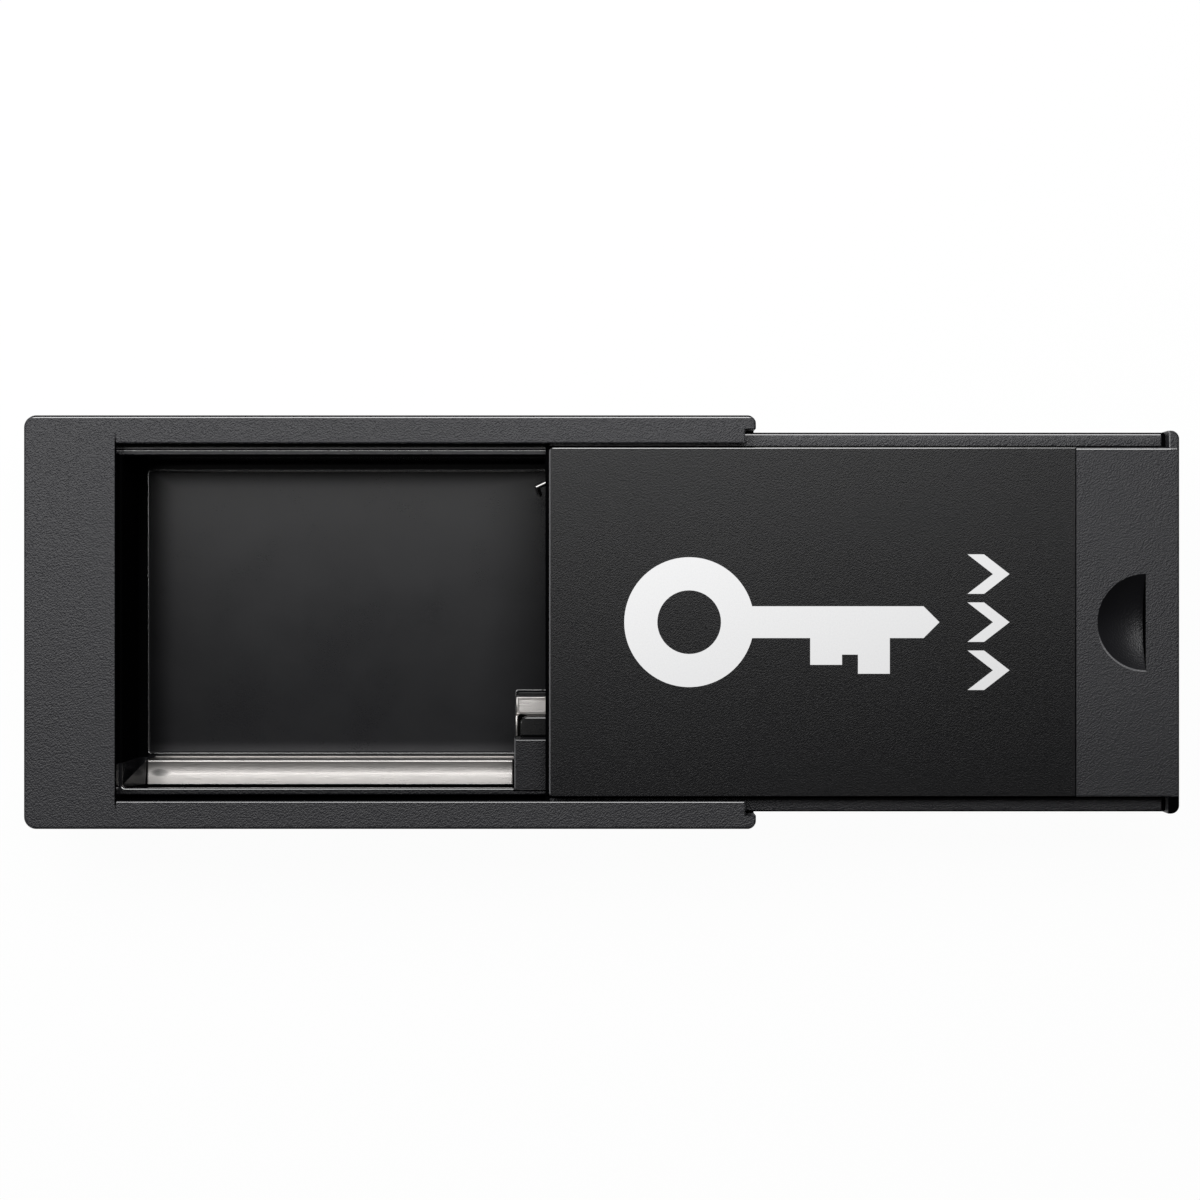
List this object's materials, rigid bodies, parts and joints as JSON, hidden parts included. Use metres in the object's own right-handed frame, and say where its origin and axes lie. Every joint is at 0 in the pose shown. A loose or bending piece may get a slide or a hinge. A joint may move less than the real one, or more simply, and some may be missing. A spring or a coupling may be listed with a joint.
{
  "type": "magnetic key holder box",
  "caption": "Flat black plastic box with a sliding lid that hides spare keys and clings to steel by magnets behind its back pad.",
  "frame": {"origin": "centre of the back pad's face, which clings to steel", "axes": "+Z out of the lid face, +X the way the lid slides open, +Y across the box"},
  "size_m": [0.1815, 0.065, 0.024],
  "materials": {
    "grained_black_plastic": "moulded black ABS, fine leather grain, satin",
    "satin_black_panel": null,
    "smooth_black_plastic": "smooth black plastic, satin gloss",
    "black_rubber": "black rubber, matte",
    "nickel_steel": "bright nickel plate on steel, faint brush lines",
    "magnet_nickel": "nickel-plated block magnet",
    "zinc_steel": "zinc-plated steel",
    "black_screw_steel": "black oxide steel",
    "spring_steel": "bright spring steel wire"
  },
  "bodies": {
    "box": {"casing": "grained_black_plastic", "back_cover": "grained_black_plastic", "back_cover_screws": "black_screw_steel", "back_pad": "black_rubber", "left_upper_magnet": "magnet_nickel", "left_lower_magnet": "magnet_nickel", "right_upper_magnet": "magnet_nickel", "right_lower_magnet": "magnet_nickel", "left_keeper_plate": "zinc_steel", "right_keeper_plate": "zinc_steel", "floor_liner": "smooth_black_plastic", "key_rail": "nickel_steel", "magnet_carrier": "grained_black_plastic", "carrier_screw": "black_screw_steel", "retaining_magnet": "magnet_nickel", "magnet_pole_plate": "nickel_steel", "bumper_pad": "black_rubber", "detent_wire": "spring_steel", "detent_screw": "zinc_steel", "upper_stop_pin": "zinc_steel", "lower_stop_pin": "zinc_steel"},
    "lid": {"lid_carrier": "grained_black_plastic", "lid_panel": "satin_black_panel", "upper_slide_rail": "smooth_black_plastic", "lower_slide_rail": "smooth_black_plastic", "rail_screws": "black_screw_steel"}
  },
  "joints": [
    {"name": "lid_slide", "type": "slide", "parent": "box", "child": "lid", "axis": [1, 0, 0], "range_m": [-0.0665, 0]}
  ]
}
